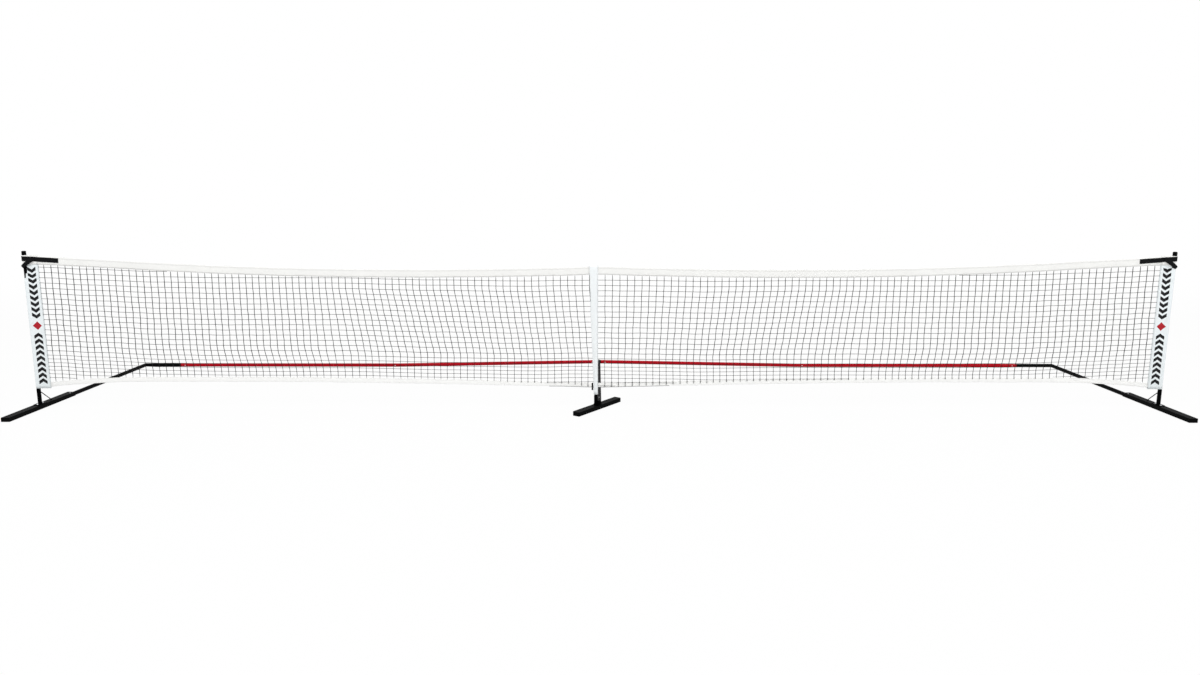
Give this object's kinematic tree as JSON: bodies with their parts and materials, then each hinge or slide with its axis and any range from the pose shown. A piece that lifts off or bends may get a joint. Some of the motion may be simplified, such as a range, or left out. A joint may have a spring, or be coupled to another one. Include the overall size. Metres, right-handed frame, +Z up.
{
  "type": "portable court net",
  "caption": "Freestanding court net on a push-together tube frame, with end posts, floor rails, a centre stand and white tape edges.",
  "frame": {"origin": "on the floor, midway between the end posts, in the underside of the centre foot", "axes": "+X along the net towards the right-hand post, +Y towards the cross bars behind the net, +Z up"},
  "size_m": [6.7758, 1.4947, 0.945],
  "materials": {
    "black_powder_coat": "satin black powder coat",
    "black_plastic": "matte black moulded plastic",
    "red_powder_coat": "glossy deep red paint",
    "zinc_steel": "zinc plated steel",
    "black_webbing": "woven black webbing",
    "white_cloth": "folded and stitched white cloth",
    "black_net": "knotless black cord net"
  },
  "bodies": {
    "frame_and_net": {"left_foot": "black_powder_coat", "left_foot_front_cap": "black_plastic", "left_foot_rear_plug": "black_plastic", "left_base_plate": "black_powder_coat", "left_base_bolts": "zinc_steel", "left_socket": "black_powder_coat", "left_brace": "black_powder_coat", "left_arm": "black_powder_coat", "left_outer_bar": "red_powder_coat", "left_inner_bar": "red_powder_coat", "left_upper_strap": "black_webbing", "left_lower_strap": "black_webbing", "left_end_band": "white_cloth", "left_top_tape": "white_cloth", "left_bottom_band": "white_cloth", "left_net": "black_net", "right_foot": "black_powder_coat", "right_foot_front_cap": "black_plastic", "right_foot_rear_plug": "black_plastic", "right_base_plate": "black_powder_coat", "right_base_bolts": "zinc_steel", "right_socket": "black_powder_coat", "right_brace": "black_powder_coat", "right_arm": "black_powder_coat", "right_outer_bar": "red_powder_coat", "right_inner_bar": "red_powder_coat", "right_upper_strap": "black_webbing", "right_lower_strap": "black_webbing", "right_end_band": "white_cloth", "right_top_tape": "white_cloth", "right_bottom_band": "white_cloth", "right_net": "black_net", "centre_pivot": "zinc_steel", "centre_hub": "black_powder_coat", "centre_post": "black_powder_coat", "centre_sleeve": "white_cloth", "centre_tie": "black_webbing", "centre_arm": "black_powder_coat", "centre_tee": "black_plastic"},
    "left_post": {"left_post": "black_powder_coat", "left_post_cap": "black_plastic"},
    "right_post": {"right_post": "black_powder_coat", "right_post_cap": "black_plastic"},
    "centre_foot": {"centre_foot": "black_powder_coat", "centre_foot_front_cap": "black_plastic", "centre_foot_rear_cap": "black_plastic"},
    "left_foot_button": {"left_foot_button": "zinc_steel"},
    "left_elbow_button": {"left_elbow_button": "zinc_steel"},
    "left_joint_button": {"left_joint_button": "zinc_steel"},
    "left_tee_button": {"left_tee_button": "zinc_steel"},
    "right_foot_button": {"right_foot_button": "zinc_steel"},
    "right_elbow_button": {"right_elbow_button": "zinc_steel"},
    "right_joint_button": {"right_joint_button": "zinc_steel"},
    "right_tee_button": {"right_tee_button": "zinc_steel"},
    "centre_hub_button": {"centre_hub_button": "zinc_steel"}
  },
  "joints": [
    {"name": "centre_foot_swivel", "type": "hinge", "parent": "frame_and_net", "child": "centre_foot", "pos_m": [-0.01, 0, 0.0127], "axis": [0, 0, 1], "range_deg": [-54, 36]},
    {"name": "left_post_lift", "type": "slide", "parent": "frame_and_net", "child": "left_post", "axis": [0, 0, 1], "range_m": [0, 0.1]},
    {"name": "right_post_lift", "type": "slide", "parent": "frame_and_net", "child": "right_post", "axis": [0, 0, 1], "range_m": [0, 0.1]},
    {"name": "left_foot_button_press", "type": "slide", "parent": "frame_and_net", "child": "left_foot_button", "axis": [0, 0, -1], "range_m": [0, 0.004], "stiffness_N_per_m": 400, "springref_m": -0.003},
    {"name": "left_elbow_button_press", "type": "slide", "parent": "frame_and_net", "child": "left_elbow_button", "axis": [0, 1, 0], "range_m": [0, 0.004], "stiffness_N_per_m": 400, "springref_m": -0.003},
    {"name": "left_joint_button_press", "type": "slide", "parent": "frame_and_net", "child": "left_joint_button", "axis": [0, 1, 0], "range_m": [0, 0.004], "stiffness_N_per_m": 400, "springref_m": -0.003},
    {"name": "left_tee_button_press", "type": "slide", "parent": "frame_and_net", "child": "left_tee_button", "axis": [0, 1, 0], "range_m": [0, 0.004], "stiffness_N_per_m": 400, "springref_m": -0.003},
    {"name": "right_foot_button_press", "type": "slide", "parent": "frame_and_net", "child": "right_foot_button", "axis": [0, 0, -1], "range_m": [0, 0.004], "stiffness_N_per_m": 400, "springref_m": -0.003},
    {"name": "right_elbow_button_press", "type": "slide", "parent": "frame_and_net", "child": "right_elbow_button", "axis": [0, 1, 0], "range_m": [0, 0.004], "stiffness_N_per_m": 400, "springref_m": -0.003},
    {"name": "right_joint_button_press", "type": "slide", "parent": "frame_and_net", "child": "right_joint_button", "axis": [0, 1, 0], "range_m": [0, 0.004], "stiffness_N_per_m": 400, "springref_m": -0.003},
    {"name": "right_tee_button_press", "type": "slide", "parent": "frame_and_net", "child": "right_tee_button", "axis": [0, 1, 0], "range_m": [0, 0.004], "stiffness_N_per_m": 400, "springref_m": -0.003},
    {"name": "centre_hub_button_press", "type": "slide", "parent": "frame_and_net", "child": "centre_hub_button", "axis": [0, 0, -1], "range_m": [0, 0.004], "stiffness_N_per_m": 400, "springref_m": -0.003}
  ]
}
